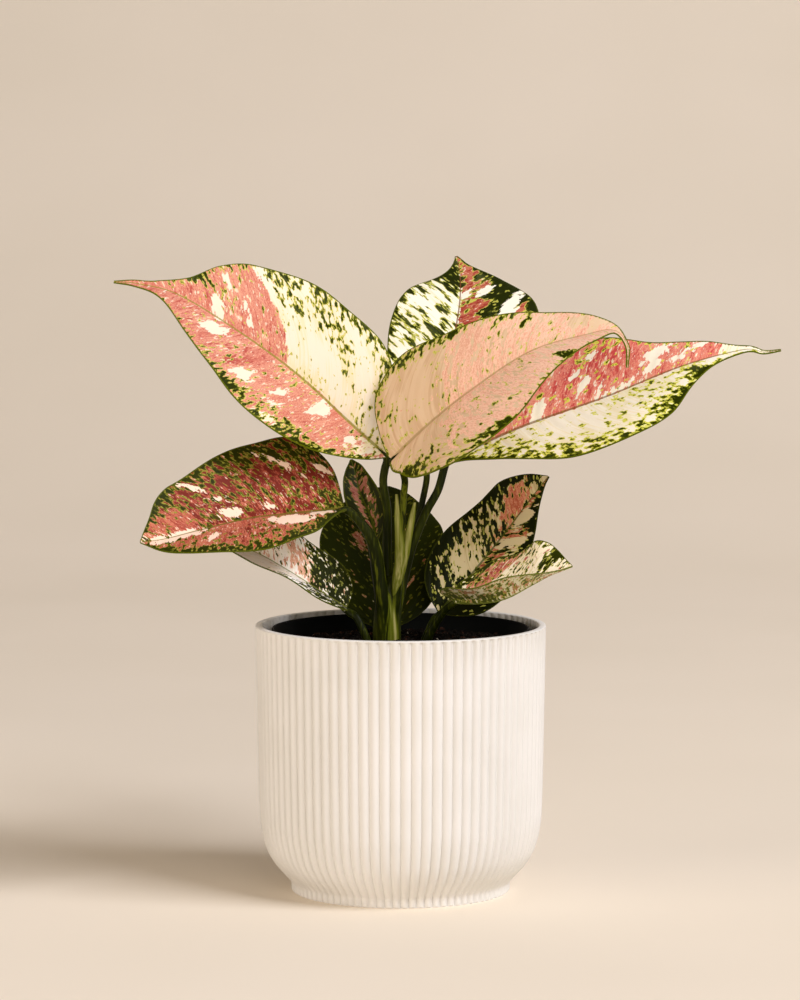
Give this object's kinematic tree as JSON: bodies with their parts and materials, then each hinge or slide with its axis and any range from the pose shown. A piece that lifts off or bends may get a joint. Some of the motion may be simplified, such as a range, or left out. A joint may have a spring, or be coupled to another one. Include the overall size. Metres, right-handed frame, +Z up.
{
  "type": "potted chinese evergreen",
  "caption": "Potted aroid house plant with pink, cream and green mottled pointed leaves on upright stalks, in a nursery pot inside a ribbed cover pot.",
  "frame": {"origin": "centre of the flat underside of the cover pot, on the pot's axis", "axes": "+Z up along the pot's axis; -Y is the front, the side that most blades turn their upper faces to; +X is to the right seen from the front"},
  "size_m": [0.3142, 0.1899, 0.3031],
  "materials": {
    "cover_pot_plastic": "moulded, matte, warm white",
    "nursery_pot_plastic": "thin moulded, satin, bluish black",
    "potting_soil": "loose, damp, dark, with a few white grains",
    "stalk": "smooth, satin, olive green",
    "leaf_blade": "satin leaf with a waxy sheen, mottled pink, cream and green"
  },
  "bodies": {
    "root": {"outer_pot": "cover_pot_plastic", "nursery_pot": "nursery_pot_plastic", "soil": "potting_soil", "main_stem": "stalk", "left_stem": "stalk", "right_stem": "stalk", "leaf_upper_left": "leaf_blade", "leaf_front": "leaf_blade", "leaf_right": "leaf_blade", "leaf_back": "leaf_blade", "leaf_mid_left": "leaf_blade", "leaf_low_left": "leaf_blade", "leaf_young": "leaf_blade", "leaf_low_back": "leaf_blade", "leaf_low_right": "leaf_blade", "leaf_low_front": "leaf_blade"}
  },
  "joints": []
}
